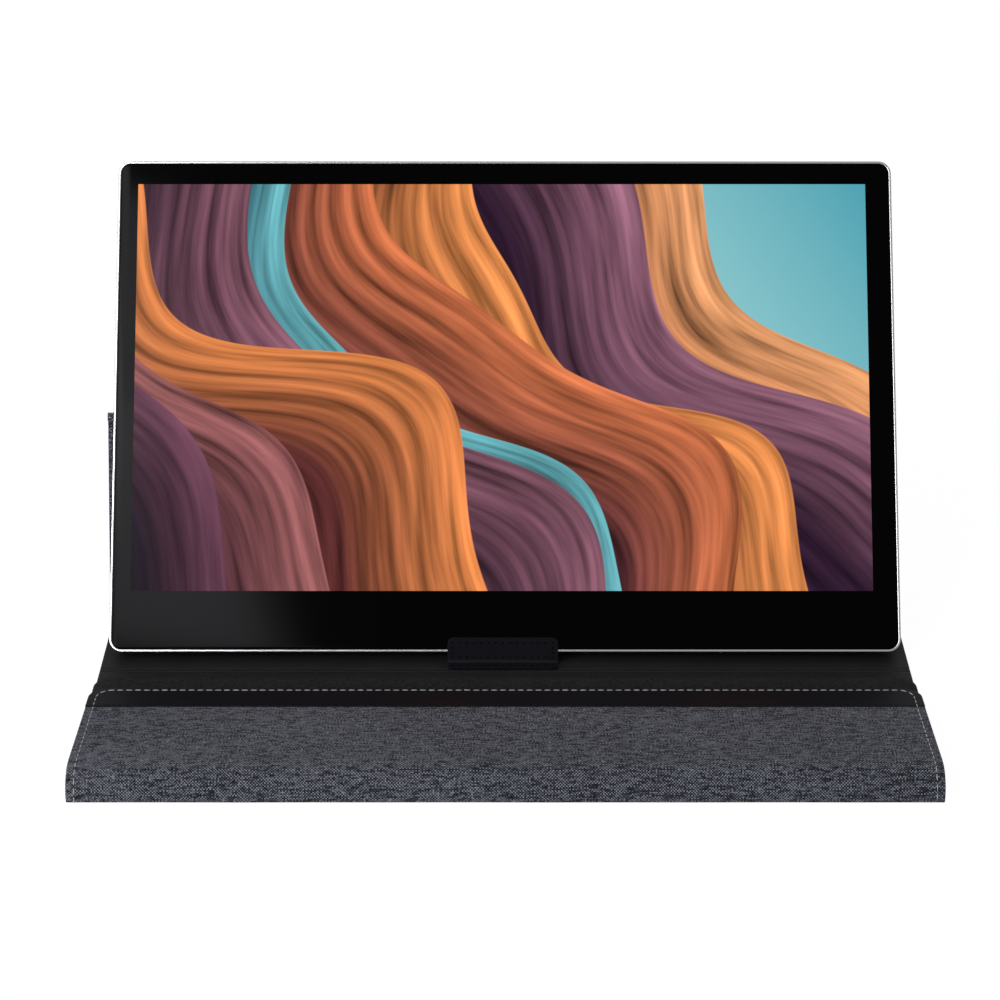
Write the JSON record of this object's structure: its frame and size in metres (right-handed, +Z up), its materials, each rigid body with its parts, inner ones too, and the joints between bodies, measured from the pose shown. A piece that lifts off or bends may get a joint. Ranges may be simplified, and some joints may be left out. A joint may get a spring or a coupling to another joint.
{
  "type": "portable monitor with folding cover",
  "caption": "Slim portable monitor leaning on the folded stand of its fabric cover, with a front flap, a ledge panel and a stop tab.",
  "frame": {"origin": "middle of the rectangle that the whole part covers on the table, at table height", "axes": "+X to the right as a person sees the screen, +Y away from that person towards the stand, +Z up"},
  "size_m": [0.373, 0.2932, 0.1981],
  "materials": {
    "black_glass": "glossy",
    "polished_rim": "polished",
    "foam_bond": "matt",
    "lcd_cell": "satin",
    "white_film": "matt",
    "clear_acrylic": "glossy",
    "led_white": "matt",
    "tray_metal": "brushed",
    "rear_shell": "satin",
    "circuit_board": "satin",
    "socket_steel": "brushed",
    "black_plastic": "matt",
    "control_metal": "satin",
    "cable_film": "satin",
    "magnet_nickel": "satin",
    "screw_steel": "satin",
    "woven_grey": "melange weave",
    "stiff_board": "matt",
    "black_lining": "microfibre",
    "smooth_black": "fine grain"
  },
  "bodies": {
    "cover_base": {"base_fabric": "woven_grey", "base_board": "stiff_board", "base_lining": "smooth_black", "ledge_panel": "black_lining", "front_roll": "woven_grey", "front_roll_lining": "black_lining", "foot_fold": "woven_grey", "tab_flange": "smooth_black"},
    "flap": {"flap_fabric": "woven_grey", "flap_trim": "smooth_black", "flap_board": "stiff_board", "flap_lining": "black_lining", "flap_magnets": "magnet_nickel"},
    "monitor": {"front_glass": "black_glass", "rim_frame": "polished_rim", "glass_bond": "foam_bond", "lcd_panel": "lcd_cell", "diffuser_sheet": "white_film", "light_guide": "clear_acrylic", "reflector_sheet": "white_film", "led_strip": "led_white", "panel_tray": "tray_metal", "rear_cover": "rear_shell", "main_board": "circuit_board", "usb_c_ports": "socket_steel", "hdmi_port": "socket_steel", "audio_jack": "black_plastic", "button_board": "circuit_board", "speaker_left": "black_plastic", "speaker_right": "black_plastic", "panel_cable": "cable_film", "button_cable": "cable_film", "back_magnets": "magnet_nickel", "board_screws": "screw_steel"},
    "power_key": {"power_button": "control_metal"},
    "menu_key": {"menu_rocker": "control_metal"},
    "front_prop": {"spine_board": "stiff_board", "prop_board": "stiff_board", "prop_fabric": "woven_grey", "prop_facing": "woven_grey", "apex_fold": "woven_grey"},
    "rear_prop": {"rear_board": "stiff_board", "rear_fabric": "woven_grey", "rear_facing": "woven_grey", "rear_magnets": "magnet_nickel"},
    "stop_tab": {"tab_leaf": "smooth_black"}
  },
  "joints": [
    {"name": "monitor_recline", "type": "hinge", "parent": "cover_base", "child": "monitor", "pos_m": [0, -0.0256, 0.0043], "axis": [-1, 0, 0], "range_deg": [0, 55]},
    {"name": "front_prop_fold", "type": "hinge", "parent": "cover_base", "child": "front_prop", "pos_m": [0, 0.00241, 0.00125], "axis": [-1, 0, 0], "range_deg": [0, 67.51]},
    {"name": "rear_prop_fold", "type": "hinge", "parent": "front_prop", "child": "rear_prop", "pos_m": [0, 0.04068, 0.09364], "axis": [1, 0, 0], "range_deg": [0, 108.86]},
    {"name": "flap_fold", "type": "hinge", "parent": "cover_base", "child": "flap", "pos_m": [0, -0.1406, 0.0073], "axis": [1, 0, 0], "range_deg": [0, 183.5]},
    {"name": "stop_tab_fold", "type": "hinge", "parent": "cover_base", "child": "stop_tab", "pos_m": [-0.001, -0.0347, 0.0039], "axis": [1, 0, 0], "range_deg": [0, 75]},
    {"name": "power_press", "type": "slide", "parent": "monitor", "child": "power_key", "axis": [1, 0, 0], "range_m": [0, 0.0004], "stiffness_N_per_m": 1500},
    {"name": "menu_rock", "type": "hinge", "parent": "monitor", "child": "menu_key", "pos_m": [-0.1818, 0.02475, 0.07952], "axis": [0, 0.8192, -0.5736], "range_deg": [-2.2, 2.2], "stiffness_Nm_per_rad": 0.2}
  ],
  "couplings": [
    {"joint": "front_prop_fold", "follows": "monitor_recline", "ratio": 1.2273},
    {"joint": "rear_prop_fold", "follows": "monitor_recline", "ratio": 1.9791}
  ]
}
